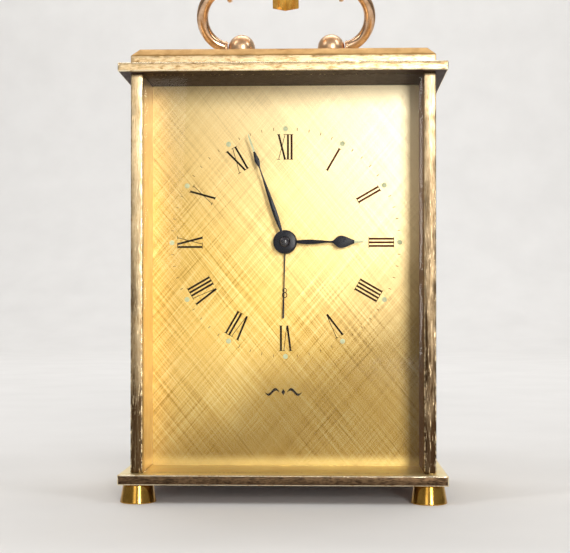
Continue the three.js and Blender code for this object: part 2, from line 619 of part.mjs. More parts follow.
addCase();
addFeet();
addHandlePosts();
addHandle();
addDial();
addHands();
addMotionWork();
addCentreArbor();
addTrain();
addBarrel("time", TIME_BARREL, TIME_BARREL_BEARING - 180);
addBarrel("alarm", ALARM_BARREL, gapAt(TEETH.barrel, ALARM_TRAIN_BEARING));
addAlarmTrain();
addKey("time", TIME_BARREL);
addKey("alarm", ALARM_BARREL);
addMovementFrame();
addRearCover();
addControls();

export default clock;
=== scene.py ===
# Looks of the brass carriage alarm clock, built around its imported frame. Metres, Z up, front towards -Y.
# Outlines and profiles are in millimetres, and scaled() or MM takes them to metres.

import json
import math

import bmesh
import bpy
from mathutils import Matrix, Vector
from mathutils import noise as smooth_noise


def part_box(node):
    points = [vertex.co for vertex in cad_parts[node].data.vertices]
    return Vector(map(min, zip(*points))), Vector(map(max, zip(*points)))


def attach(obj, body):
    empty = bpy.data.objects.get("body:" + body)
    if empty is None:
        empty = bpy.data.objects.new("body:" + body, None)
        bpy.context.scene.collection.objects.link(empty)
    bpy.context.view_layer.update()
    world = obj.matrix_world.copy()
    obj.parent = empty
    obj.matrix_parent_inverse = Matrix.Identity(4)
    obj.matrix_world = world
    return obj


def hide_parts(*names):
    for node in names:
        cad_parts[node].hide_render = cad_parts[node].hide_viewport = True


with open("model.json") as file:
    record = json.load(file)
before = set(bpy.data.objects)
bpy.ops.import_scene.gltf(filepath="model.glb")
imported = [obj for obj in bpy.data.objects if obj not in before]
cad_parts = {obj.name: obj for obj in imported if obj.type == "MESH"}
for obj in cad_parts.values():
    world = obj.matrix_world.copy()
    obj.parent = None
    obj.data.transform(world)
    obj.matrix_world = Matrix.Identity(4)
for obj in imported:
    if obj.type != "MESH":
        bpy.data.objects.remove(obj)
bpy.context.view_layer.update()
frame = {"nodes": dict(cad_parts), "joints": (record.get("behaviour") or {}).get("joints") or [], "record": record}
nodes = frame["nodes"]

MM = 0.001

# ---------------------------------------------------------------- places, read from the frame

_, cap_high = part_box("top_cap")
base_low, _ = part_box("base_plate")
dial_low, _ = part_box("dial_plate")
cover_low, cover_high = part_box("rear_cover")
nut_low, nut_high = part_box("hand_nut")
joints = {joint["name"]: joint for joint in frame["joints"]}


def joint_place(name):
    return Vector(joints[name]["pos_m"])


def centre_of(node_name):
    """The middle of a node's box."""
    return sum(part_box(node_name), Vector()) / 2


CENTRE = (nut_low + nut_high) / 2
DIAL_FACE = dial_low.y
COVER_FACE = cover_high.y
PIVOT = joint_place("handle_fold")
BALANCE = joint_place("regulator_swing")
STOP_BUTTON = centre_of("alarm_stop_button")
REST_LEAN = math.radians(25)


# ---------------------------------------------------------------- shader helpers

def new_material(name):
    material = bpy.data.materials.new(name)
    material.use_nodes = True
    tree = material.node_tree
    tree.nodes.clear()
    return material, tree


def join_socket(tree, socket, value):
    if isinstance(value, bpy.types.NodeSocket):
        tree.links.new(value, socket)
    elif isinstance(value, (tuple, list)) and len(value) == 3 and len(socket.default_value) == 4:
        socket.default_value = (*value, 1)
    else:
        socket.default_value = value


def node(tree, kind, settings=None, **inputs):
    """A shader node with its settings and its named inputs."""
    made = tree.nodes.new(kind)
    for key, value in (settings or {}).items():
        setattr(made, key, value)
    for key, value in inputs.items():
        join_socket(tree, made.inputs[key.replace("_", " ")], value)
    return made


def in_millimetres(tree, scale=(1, 1, 1), rotation=(0, 0, 0)):
    """Object coordinates in millimetres, turned and then stretched."""
    coordinates = node(tree, "ShaderNodeTexCoord").outputs["Object"]
    turned = node(tree, "ShaderNodeVectorRotate", {"rotation_type": "EULER_XYZ"}, Vector=coordinates,
                  Rotation=rotation)
    return node(tree, "ShaderNodeMapping", Vector=turned.outputs[0], Scale=[s / MM for s in scale]).outputs[0]


def noise(tree, vector, detail=4.0, roughness=0.55, distortion=0.0):
    made = node(tree, "ShaderNodeTexNoise", Vector=vector, Scale=1.0, Detail=detail, Roughness=roughness,
                Distortion=distortion)
    return made.outputs["Fac"]


def spread(tree, value, low, high, to_low=0.0, to_high=1.0, kind="LINEAR"):
    """Maps low to to_low and high to to_high, and holds the ends."""
    made = node(tree, "ShaderNodeMapRange", {"interpolation_type": kind}, Value=value, From_Min=low,
                From_Max=high, To_Min=to_low, To_Max=to_high)
    return made.outputs["Result"]


def maths(tree, operation, a, b=0.0):
    made = tree.nodes.new("ShaderNodeMath")
    made.operation = operation
    join_socket(tree, made.inputs[0], a)
    join_socket(tree, made.inputs[1], b)
    return made.outputs[0]


def weighted(tree, *pairs):
    """The sum of sockets multiplied by numbers."""
    total = None
    for value, weight in pairs:
        part = maths(tree, "MULTIPLY", value, weight)
        total = part if total is None else maths(tree, "ADD", total, part)
    return total


def ramp(tree, value, stops):
    made = node(tree, "ShaderNodeValToRGB", Fac=value)
    elements = made.color_ramp.elements
    elements[0].position, elements[0].color = stops[0][0], (*stops[0][1], 1)
    elements[1].position, elements[1].color = stops[-1][0], (*stops[-1][1], 1)
    for position, colour in stops[1:-1]:
        elements.new(position).color = (*colour, 1)
    return made.outputs["Color"]


def mix(tree, factor, a, b, blend="MIX"):
    made = tree.nodes.new("ShaderNodeMix")
    made.data_type = "RGBA"
    made.blend_type = blend
    colours = [socket for socket in made.inputs if socket.type == "RGBA"]
    join_socket(tree, made.inputs[0], factor)
    join_socket(tree, colours[0], a)
    join_socket(tree, colours[1], b)
    return next(socket for socket in made.outputs if socket.type == "RGBA")


def axis_value(tree, axis):
    """One object coordinate, in millimetres."""
    split = node(tree, "ShaderNodeSeparateXYZ", Vector=in_millimetres(tree))
    return split.outputs[axis]


def surface(tree, colour, roughness, height=None, depth=0.02, metallic=1.0, **extra):
    """Ends a material in one principled shader; depth is the height of the bumps in millimetres."""
    inputs = {"Base_Color": colour, "Roughness": roughness, "Metallic": metallic, **extra}
    shader = node(tree, "ShaderNodeBsdfPrincipled", None, **inputs)
    if height is not None:
        bump = node(tree, "ShaderNodeBump", None, Height=height, Strength=1.0, Distance=depth * MM)
        tree.links.new(bump.outputs[0], shader.inputs["Normal"])
    output = node(tree, "ShaderNodeOutputMaterial")
    tree.links.new(shader.outputs[0], output.inputs[0])


# ---------------------------------------------------------------- materials

def streaked_brass(name, stretch, light, middle, dark, roughness=0.34, darkening=None):
    """Worn brass with fine drawn streaks along one axis; darkening is (axis, level where it starts, level where it
    is darkest, tint), and turns the brass towards the tint between those levels, in uneven patches cleared by
    scuffs.
    """
    material, tree = new_material(name)
    fine = noise(tree, in_millimetres(tree, [5.0 * s for s in stretch]), 4, 0.6)
    dashes = noise(tree, in_millimetres(tree, [3.2 * s for s in stretch]), 5, 0.7)
    blotches = noise(tree, in_millimetres(tree, (0.4, 0.4, 0.4)), 6, 0.7)
    tone = weighted(tree, (fine, 0.35), (dashes, 0.4), (blotches, 0.25))
    colour = ramp(tree, tone, [(0.41, dark), (0.48, middle), (0.55, light)])
    rough = spread(tree, tone, 0.38, 0.62, roughness + 0.12, roughness - 0.06)
    # Darkening along one axis; every use here makes the brass darker towards the bottom.
    if darkening:
        axis, fade_start, darkened, tint = darkening
        patches = noise(tree, in_millimetres(tree, [0.5 * s for s in stretch]), 5, 0.65, 0.4)
        grown = maths(tree, "POWER", spread(tree, axis_value(tree, axis), fade_start, darkened), 0.5)
        amount = maths(tree, "ADD", grown, spread(tree, patches, 0.35, 0.65, -0.22, 0.22))
        amount = spread(tree, amount, 0.02, 0.98)
        scuffs = spread(tree, dashes, 0.6, 0.68)
        kept = maths(tree, "MULTIPLY", amount, maths(tree, "SUBTRACT", 1.0, scuffs))
        colour = mix(tree, kept, colour, tint)
    surface(tree, colour, rough, weighted(tree, (fine, 0.5), (dashes, 0.5)), 0.05)
    return material


def edge_brass(name, light, dark, darkening=None):
    """The bright edge of a plate, polished by rubbing, with small nicks; darkening is as for streaked_brass,
    cleared in random patches.
    """
    material, tree = new_material(name)
    nicks = noise(tree, in_millimetres(tree, (0.8, 0.8, 0.8)), 6, 0.75)
    colour = ramp(tree, nicks, [(0.4, dark), (0.49, light)])
    if darkening:
        axis, fade_start, darkened, tint = darkening
        rubbing_and_glare = noise(tree, in_millimetres(tree, (0.45, 0.45, 0.45)), 5, 0.7)
        amount = spread(tree, axis_value(tree, axis), fade_start, darkened)
        kept = maths(tree, "MULTIPLY", amount, spread(tree, rubbing_and_glare, 0.56, 0.46))
        colour = mix(tree, kept, colour, tint)
    surface(tree, colour, spread(tree, nicks, 0.35, 0.6, 0.36, 0.2), nicks, 0.04)
    return material


def smooth_brass(name, colour, dark, roughness):
    """Polished or turned brass, unevenly wiped, with very fine scratches."""
    material, tree = new_material(name)
    wipe = noise(tree, in_millimetres(tree, (0.3, 0.3, 0.3)), 5, 0.6)
    hairlines = noise(tree, in_millimetres(tree, (5, 0.9, 5), (0.4, 0.6, 0.2)), 3, 0.6)
    tint = ramp(tree, wipe, [(0.36, dark), (0.58, colour)])
    rough = spread(tree, wipe, 0.35, 0.65, roughness + 0.08, roughness)
    surface(tree, tint, rough, hairlines, 0.003)
    return material


def scratches(tree, angle, density, length, low, high):
    """Long fine lines in the plane of the dial, leaning by an angle from upright, between 0 and 1."""
    lines = in_millimetres(tree, (density, 0.2, 1 / length), (0, math.radians(angle), 0))
    return spread(tree, noise(tree, lines, 2, 0.5), low, high)


def dial_gold():
    """Gold-lacquered plate brushed in two crossing directions, with a painted highlight that makes it paler and
    its brushing fainter towards the upper right, painted shade at the lower right and upper left, and a painted
    light band along the bottom.
    """
    material, tree = new_material("dial_gold")
    coarse = weighted(tree, (scratches(tree, 40, 2.3, 30, 0.36, 0.64), 0.6),
                      (scratches(tree, -38, 2.1, 26, 0.36, 0.64), 0.4))
    fine = weighted(tree, (scratches(tree, 38, 4.0, 20, 0.32, 0.68), 0.5),
                    (scratches(tree, -41, 3.8, 18, 0.32, 0.68), 0.5))
    single = weighted(tree, (scratches(tree, 44, 3.4, 46, 0.62, 0.69), 1.0),
                      (scratches(tree, -42, 3.6, 52, 0.62, 0.69), 1.0))
    gouges = weighted(tree, (scratches(tree, 37, 3.1, 42, 0.37, 0.3), 1.0),
                      (scratches(tree, -44, 2.9, 38, 0.37, 0.3), 1.0))
    cloud = noise(tree, in_millimetres(tree, (0.05, 0.05, 0.05)), 3, 0.5)
    across, upright = axis_value(tree, 0), axis_value(tree, 2)
    # Painted highlight: this mask grows towards the upper right, where it makes the plate paler and its brushing
    # fainter.
    rubbing_and_glare = weighted(tree, (across, 0.0075), (upright, 0.0085))
    uneven, glare_fade = spread(tree, cloud, 0.35, 0.65, 0.6, 1.35), spread(tree, rubbing_and_glare, 0.45, 1.1, 1.0, 0.45)
    strength = maths(tree, "MULTIPLY", uneven, glare_fade)
    weave = weighted(tree, (coarse, 0.4), (fine, 0.6))
    tone = weighted(tree, (weave, 1.0), (single, 0.2), (gouges, -0.24))
    tone = maths(tree, "ADD", 0.5, maths(tree, "MULTIPLY", maths(tree, "SUBTRACT", tone, 0.5), strength))
    plain = ramp(tree, tone, [(0.0, (0.52, 0.31, 0.06)), (0.5, (0.9, 0.6, 0.17)), (1.0, (1.0, 0.82, 0.36))])
    # Painted highlight: pale cream mixed into the colour towards the upper right.
    colour = mix(tree, spread(tree, rubbing_and_glare, 0.42, 1.2, 0.0, 0.8), plain, (1.0, 0.9, 0.66))
    # Painted shade: the colour is multiplied darker at the lower right and, more weakly, at the upper left, along
    # cloudy edges.
    drift = spread(tree, cloud, 0.3, 0.7, -5, 5)
    low_right = maths(tree, "ADD", weighted(tree, (across, -0.6), (upright, 1.0)), drift)
    high_left = maths(tree, "ADD", weighted(tree, (across, -1.0), (upright, 0.45)), drift)
    for boundary, start, end, depth in ((low_right, 64, 16, 0.74), (high_left, 30, 84, 0.32)):
        shaded = spread(tree, boundary, start, end, 0.0, depth, "SMOOTHSTEP")
        colour = mix(tree, shaded, colour, mix(tree, 1.0, colour, (0.135, 0.116, 0.075), "MULTIPLY"))
    # Painted light: a pale band along the bottom edge of the dial.
    painted_light_band = spread(tree, upright, 11.5, 8.2, 0.0, 0.5, "SMOOTHSTEP")
    colour = mix(tree, painted_light_band, colour, (1.0, 0.76, 0.3))
    rough = spread(tree, weave, 0.2, 0.8, 0.5, 0.4)
    surface(tree, colour, rough, tone, 0.02)
    return material


def blued_steel():
    """Steel blued almost black, with a clear gloss."""
    material, tree = new_material("blued_steel")
    cloud = noise(tree, in_millimetres(tree, (0.3, 0.3, 0.3)), 4, 0.6)
    colour = ramp(tree, cloud, [(0.35, (0.004, 0.004, 0.008)), (0.65, (0.01, 0.012, 0.024))])
    surface(tree, colour, spread(tree, cloud, 0.3, 0.7, 0.34, 0.26), cloud, 0.01, 0.0, Specular_IOR_Level=0.3)
    return material


def steel(name, light, dark, roughness=0.25):
    material, tree = new_material(name)
    grain = noise(tree, in_millimetres(tree, (5, 5, 0.6)), 5, 0.6)
    colour = ramp(tree, grain, [(0.35, dark), (0.65, light)])
    surface(tree, colour, spread(tree, grain, 0.3, 0.7, roughness + 0.12, roughness), grain, 0.01)
    return material


def printed(name, dark, light, roughness=0.5, grain=1.4, specular=0.1, painted_glare=None):
    """Printed ink or paint with a slightly uneven film; painted_glare is a painted highlight, the colour the print
    turns to towards the upper right.
    """
    material, tree = new_material(name)
    film = noise(tree, in_millimetres(tree, (grain,) * 3), 4, 0.6)
    colour = ramp(tree, film, [(0.35, dark), (0.65, light)])
    if painted_glare:
        # Painted highlight: the ink turns to painted_glare towards the upper right of the dial.
        rubbing_and_glare = weighted(tree, (axis_value(tree, 0), 0.0125), (axis_value(tree, 2), 0.0065))
        colour = mix(tree, spread(tree, rubbing_and_glare, 0.6, 0.8), colour, painted_glare)
    surface(tree, colour, roughness, film, 0.01, 0.0, Specular_IOR_Level=specular)
    return material


def clear_glass():
    """Clear pane: light passes straight through, and the surface mirrors more at a glancing angle."""
    material, tree = new_material("glass")
    smears = noise(tree, in_millimetres(tree, (0.05, 0.05, 0.05)), 4, 0.6)
    through = node(tree, "ShaderNodeBsdfTransparent", Color=(0.99, 0.99, 0.985))
    mirror = node(tree, "ShaderNodeBsdfGlossy", Roughness=spread(tree, smears, 0.3, 0.7, 0.0, 0.04))
    glancing = maths(tree, "POWER", node(tree, "ShaderNodeLayerWeight", Blend=0.5).outputs["Facing"], 5.0)
    mixed = node(tree, "ShaderNodeMixShader")
    share = spread(tree, glancing, 0.0, 1.0, 0.012, 0.9)
    for socket, value in zip(mixed.inputs, (share, through.outputs[0], mirror.outputs[0])):
        tree.links.new(value, socket)
    output = node(tree, "ShaderNodeOutputMaterial")
    tree.links.new(mixed.outputs[0], output.inputs[0])
    return material


CREAM = (0.93, 0.73, 0.44)
PALE = (0.76, 0.53, 0.27)
TAN = (0.3, 0.17, 0.06)
UMBER = (0.07, 0.04, 0.018)
GOLD = (0.9, 0.6, 0.17)

MATERIALS = {
    "across": streaked_brass("brass_across", (0.14, 1, 1.2), CREAM, PALE, TAN),
    "upright": streaked_brass("brass_upright", (1.1, 1, 0.1), CREAM, (0.86, 0.64, 0.36), (0.58, 0.39, 0.18),
                              0.36, (2, 94, 6, UMBER)),
    "shaded_upright": streaked_brass("brass_shaded_upright", (1.1, 1, 0.1), (0.74, 0.56, 0.34),
                                     (0.62, 0.45, 0.25), (0.4, 0.26, 0.12), 0.36,
                                     (2, 104, 18, (0.035, 0.018, 0.008))),
    "side": streaked_brass("brass_side", (1, 1.1, 0.06), (0.86, 0.68, 0.4), (0.78, 0.6, 0.33),
                           (0.64, 0.46, 0.24), 0.38, (2, 130, -170, (0.42, 0.28, 0.12))),
    # Plain dark brass for the front of the base.
    "darkened": streaked_brass("brass_darkened", (0.2, 1, 1), (0.14, 0.085, 0.045), (0.07, 0.043, 0.023),
                           (0.03, 0.018, 0.01), 0.4),
    "shade": streaked_brass("brass_shade", (0.2, 0.6, 0.6), (0.28, 0.15, 0.09), (0.2, 0.1, 0.06),
                            (0.15, 0.07, 0.04), 0.5),
    # Painted shade: a near-black copy of the brass for the underside of the top slab.
    "shaded_underside": streaked_brass("brass_shaded_underside", (0.2, 0.6, 0.6), (0.05, 0.025, 0.019), (0.038, 0.019, 0.015),
                             (0.028, 0.014, 0.011), 0.55),
    "edge": edge_brass("brass_edge", (0.97, 0.86, 0.62), (0.55, 0.38, 0.2)),
    "worn_edge": edge_brass("brass_worn_edge", (0.95, 0.78, 0.5), (0.4, 0.25, 0.11), (2, 85, 20, UMBER)),
    "chamfer": smooth_brass("chamfer_brass", (0.5, 0.3, 0.11), (0.42, 0.24, 0.08), 0.4),
    # Painted light: a brightened, near-cream copy of the brass for the top of the base inside the case.
    "lit_base_top": smooth_brass("lit_base_top_brass", (1.0, 0.86, 0.5), (0.98, 0.8, 0.43), 0.4),
    # Painted light: a bright copy of the brass for the left inner wall, which the window lights; the right inner
    # wall takes the dark shade copy.
    "lining": smooth_brass("lining_brass", (0.84, 0.67, 0.5), (0.78, 0.6, 0.42), 0.3),
    "handle": smooth_brass("handle_brass", (0.84, 0.56, 0.36), (0.55, 0.32, 0.17), 0.12),
    "ball": smooth_brass("ball_brass", (0.88, 0.6, 0.37), (0.72, 0.45, 0.25), 0.27),
    "golden": smooth_brass("golden_brass", (0.88, 0.5, 0.1), (0.6, 0.3, 0.05), 0.2),
    "foot": smooth_brass("foot_brass", (0.62, 0.35, 0.07), (0.38, 0.2, 0.03), 0.13),
    "key": smooth_brass("key_brass", GOLD, (0.66, 0.42, 0.12), 0.15),
    "dial": dial_gold(),
    "hands": blued_steel(),
    "nut": printed("hand_nut", (0.012, 0.011, 0.014), (0.03, 0.026, 0.034), 0.14, 0.4, 0.9),
    "steel": steel("steel", (0.62, 0.61, 0.59), (0.38, 0.37, 0.36)),
    "spring": steel("spring_steel", (0.2, 0.24, 0.32), (0.08, 0.1, 0.15)),
    "movement": streaked_brass("movement_brass", (0.3, 1, 1), (0.8, 0.62, 0.3), (0.62, 0.45, 0.2),
                               (0.4, 0.27, 0.1)),
    "cover": streaked_brass("cover_brass", (0.05, 1, 1), (0.84, 0.62, 0.28), (0.76, 0.54, 0.22),
                            (0.6, 0.4, 0.15), 0.36),
    # The numeral ink has a painted highlight: reddish towards the upper right.
    "ink": printed("numeral_ink", (0.008, 0.005, 0.004), (0.02, 0.013, 0.01), painted_glare=(0.11, 0.03, 0.01)),
    "fine_ink": printed("fine_ink", (0.16, 0.09, 0.03), (0.26, 0.15, 0.05)),
    "luminous": printed("luminous_paint", (0.62, 0.68, 0.4), (0.78, 0.84, 0.56), 0.6),
    "glass": clear_glass(),
}

SLOT_MATERIALS = {
    "brushed_brass": "across", "polished_brass": "key", "dial_gold": "dial", "movement_brass": "movement",
    "blued_steel": "hands", "steel": "steel", "spring_steel": "spring", "glass": "glass",
}


def dress_frame():
    """Gives every carried-over node the material of its slot."""
    for row in frame["record"]["subparts"]:
        mesh = nodes[row["node"]].data
        mesh.materials.clear()
        mesh.materials.append(MATERIALS[SLOT_MATERIALS[row["material_slot"]]])


# ---------------------------------------------------------------- mesh helpers

def piece(name, mesh, body, materials, replaces=(), smooth=35):
    """Puts a mesh in the scene, riding on its body."""
    made = bpy.data.objects.new(name, mesh)
    bpy.context.scene.collection.objects.link(made)
    for key in materials:
        mesh.materials.append(MATERIALS[key])
    if smooth:
        mesh.shade_smooth()
        mesh.set_sharp_from_angle(angle=math.radians(smooth))
    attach(made, body)
    if replaces:
        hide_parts(*replaces)


def finished(node_name, mesh, body, material, smooth=35):
    """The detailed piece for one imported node, named after it."""
    piece(f"{node_name}_finished", mesh, body, (material,), (node_name,), smooth)


def mesh_from(build):
    """A mesh made by a function that fills a bmesh."""
    work = bmesh.new()
    build(work)
    bmesh.ops.recalc_face_normals(work, faces=work.faces)
    mesh = bpy.data.meshes.new("mesh")
    work.to_mesh(mesh)
    work.free()
    return mesh


def printed_piece(name, build, ink="ink"):
    """Flat printing that is fixed to the case."""
    piece(name, mesh_from(build), "case", (ink,), (), 0)


def join_rings(work, one, two):
    """Faces between two closed rings with the same number of vertices."""
    following = zip(one, two, one[1:] + one[:1], two[1:] + two[:1])
    return [work.faces.new((a, next_a, next_b, b)) for a, b, next_a, next_b in following]


def cut_across(work, place, normal):
    """Adds edges where a plane crosses the mesh."""
    bmesh.ops.bisect_plane(work, geom=[*work.verts, *work.edges, *work.faces], dist=1e-7, plane_co=place,
                           plane_no=normal)


def wear(vertices):
    """Dents a worn edge inwards by a smooth random depth."""
    per_mm, kept, deepest = 1.7, 0.15, 0.25 * MM
    for vertex in vertices:
        depth = max(0.0, smooth_noise.noise(vertex.co / MM * per_mm) - kept)
        vertex.co -= vertex.normal * (depth * deepest)


def worn_block(node_name, bevel, materials, faces, chamfer=0.0, name=None):
    """A plate of the case with rounded, dented edges, in the box of the node that it replaces.

    Materials are listed as [default, edge, ...]; faces gives the index for a direction such as "-y".
    """
    low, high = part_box(node_name)
    step = 1.2 * MM

    def build(work):
        levels = [(low.z, 0), (high.z, chamfer)]
        if chamfer:
            levels.insert(1, (high.z - chamfer, 0))
        rings = []
        for z, inset in levels:
            xs, ys = (low.x + inset, high.x - inset), (low.y + inset, high.y - inset)
            rings.append([work.verts.new((x, y, z)) for x, y in
                          ((xs[0], ys[0]), (xs[1], ys[0]), (xs[1], ys[1]), (xs[0], ys[1]))])
        for one, two in zip(rings, rings[1:]):
            join_rings(work, one, two)
        work.faces.new(rings[0][::-1])
        work.faces.new(rings[-1])
        work.normal_update()
        result = bmesh.ops.bevel(work, geom=work.edges[:], offset=bevel, segments=3, profile=0.5,
                                 affect="EDGES", clamp_overlap=True)
        rounded = set(result["faces"])
        for face in work.faces:
            if face in rounded:
                face.material_index = 1
                continue
            axis = max(range(3), key=lambda i: abs(face.normal[i]))
            sloping = abs(face.normal[axis]) < 0.99
            key = "slope" if sloping else ("-" if face.normal[axis] < 0 else "+") + "xyz"[axis]
            face.material_index = faces.get(key, 0)
        for axis in range(3):
            cuts = int((high[axis] - low[axis]) / step)
            for i in range(1, cuts):
                place = Vector((0, 0, 0))
                place[axis] = low[axis] + (high[axis] - low[axis]) * i / cuts
                cut_across(work, place, Vector(1.0 if k == axis else 0.0 for k in range(3)))
        work.normal_update()
        edge_vertices = {v for f in work.faces if f.material_index == 1 for v in f.verts}
        flat_vertices = {v for f in work.faces if f.material_index != 1 for v in f.verts}
        wear(edge_vertices - flat_vertices)
    piece(name or f"{node_name}_finished", mesh_from(build), "case", materials, (node_name,), 40)


AXES = {
    "x": Matrix(((0, 0, 1), (1, 0, 0), (0, 1, 0))),
    "y": Matrix(((0, 1, 0), (0, 0, 1), (1, 0, 0))),
    "z": Matrix.Identity(3),
}


def lathe_into(work, profile, axis, place=(0, 0, 0), segments=64, grooves=0, groove_depth=0.0):
    """Turns an outline of [radius, along, cut] about an axis; cut says how deep grooves go at that point."""
    basis = AXES[axis]
    made = []
    rings = []
    for radius, along, *cut in profile:
        if radius < 1e-7:
            rings.append([work.verts.new(basis @ Vector((0, 0, along)))])
            made += rings[-1]
            continue
        depth = groove_depth * (cut[0] if cut else 0)
        ring = []
        for i in range(segments):
            angle = 2 * math.pi * i / segments
            r = radius - depth * (0.5 + 0.5 * math.cos(grooves * angle))
            ring.append(work.verts.new(basis @ Vector((r * math.cos(angle), r * math.sin(angle), along))))
        rings.append(ring)
        made += ring
    for one, two in zip(rings, rings[1:]):
        for i in range(segments):
            k = (i + 1) % segments
            corners = [one[i % len(one)], one[k % len(one)], two[k % len(two)], two[i % len(two)]]
            unique = list(dict.fromkeys(corners))
            if len(unique) > 2:
                work.faces.new(unique)
    bmesh.ops.translate(work, vec=Vector(place), verts=made)
    return made


def lathe(profile, axis, place, segments=64, grooves=0, groove_depth=0.0):
    """The mesh of one turned piece."""
    return mesh_from(lambda work: lathe_into(work, profile, axis, place, segments, grooves, groove_depth))


def scaled(profile):
    """Profile points from millimetres to metres."""
    return [(r * MM, a * MM, *rest) for r, a, *rest in profile]


def smooth_profile(points, steps=6):
    """Passes a smooth curve through [radius, along] points."""
    out = []
    for i in range(len(points) - 1):
        a, b = points[i], points[i + 1]
        before, after = points[max(i - 1, 0)], points[min(i + 2, len(points) - 1)]
        for s in range(steps):
            t = s / steps
            out.append([0.5 * (2 * a[k] + (b[k] - before[k]) * t
                               + (2 * before[k] - 5 * a[k] + 4 * b[k] - after[k]) * t * t
                               + (3 * a[k] - before[k] - 3 * b[k] + after[k]) * t ** 3) for k in (0, 1)])
    return out + [list(points[-1])]


def circle_points(centre, radius, count=64):
    angles = [2 * math.pi * i / count for i in range(count)]
    return [(centre[0] + radius * math.cos(a), centre[1] + radius * math.sin(a)) for a in angles]


def sheet_mesh(outline, holes, front, back, bevel):
    """A flat sheet in x and z with holes and rounded edges, between two levels of y."""
    curve = bpy.data.curves.new("sheet", "CURVE")
    curve.dimensions = "2D"
    curve.fill_mode = "BOTH"
    curve.extrude = (back - front) / 2 - bevel
    curve.bevel_depth = bevel
    curve.bevel_resolution = 2
    curve.offset = -bevel
    for loop in [outline, *holes]:
        spline = curve.splines.new("POLY")
        spline.points.add(len(loop) - 1)
        for point, (x, z) in zip(spline.points, loop):
            point.co = (x, z, 0, 1)
        spline.use_cyclic_u = True
    holder = bpy.data.objects.new("sheet", curve)
    bpy.context.scene.collection.objects.link(holder)
    bpy.context.view_layer.update()
    mesh = bpy.data.meshes.new_from_object(holder)
    bpy.data.objects.remove(holder)
    bpy.data.curves.remove(curve)
    mesh.materials.clear()
    mesh.transform(Matrix.Translation((0, (front + back) / 2, 0)) @ Matrix.Rotation(math.pi / 2, 4, "X"))
    return mesh


# ---------------------------------------------------------------- case

def build_case():
    rounding = 0.3 * MM
    # The base: plain dark brass on its front, the painted-light copy on its top, the shade copy underneath.
    worn_block("base_plate", rounding, ("across", "edge", "darkened", "lit_base_top", "shade"),
               {"-y": 2, "+z": 3, "-z": 4})
    # The top slab's underside takes the painted-shade copy of the brass.
    worn_block("top_slab", rounding, ("across", "edge", "shaded_underside"), {"-z": 2})
    worn_block("top_cap", 0.18 * MM, ("across", "chamfer", "chamfer"), {"slope": 2},
               2.15 * MM)
    # Inner walls: the left one takes the bright painted-light copy, the right one the dark painted-shade copy; the
    # right front takes the shaded copy of the upright brass.
    for name, inner, outer, front, lining in (("left", "+x", "-x", "upright", "lining"),
                                              ("right", "-x", "+x", "shaded_upright", "shade")):
        worn_block(f"side_wall_{name}", rounding, (front, "worn_edge", lining, "side"),
                   {inner: 2, outer: 3})
    worn_block("front_glass", 0.12 * MM, ("glass", "glass"), {}, name="glass_pane")


def build_feet():
    top = base_low.z / MM
    for name in ("front_left", "front_right", "rear_left", "rear_right"):
        middle = centre_of(f"foot_{name}")
        profile = [(0, 0.12), (4.1, 0.12), (4.25, 0), (4.75, 0), (4.87, 0.05), (4.9, 0.16), (4.87, 0.3),
                   (4.1, top - 0.3), (4.04, top - 0.12), (3.95, top), (0, top)]
        mesh = lathe(scaled(profile), "z", (middle.x, middle.y, 0), 96)
        finished(f"foot_{name}", mesh, "case", "foot")


# ---------------------------------------------------------------- handle

def build_posts():
    for name in ("left", "right"):
        middle = centre_of(f"handle_post_{name}")
        height = PIVOT.z - cap_high.z
        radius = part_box(f"handle_post_{name}")[1].z - PIVOT.z
        neck = 1.9 * MM
        start = math.asin(neck / radius)
        ball = [(radius * math.sin(a), height - radius * math.cos(a)) for a in
                (start + (math.pi - start) * i / 28 for i in range(29))]
        foot = scaled([(0, 0), (3.3, 0), (3.42, 0.12), (3.42, 0.45), (3.2, 0.65), (2.4, 0.95), (2.0, 1.3)])
        outline = foot + ball[:-1] + [(0, height + radius)]
        mesh = lathe(outline, "z", (middle.x, 0, cap_high.z), 72)
        piece(f"handle_ball_{name}", mesh, "case", ("ball",), (f"handle_post_{name}",), 50)


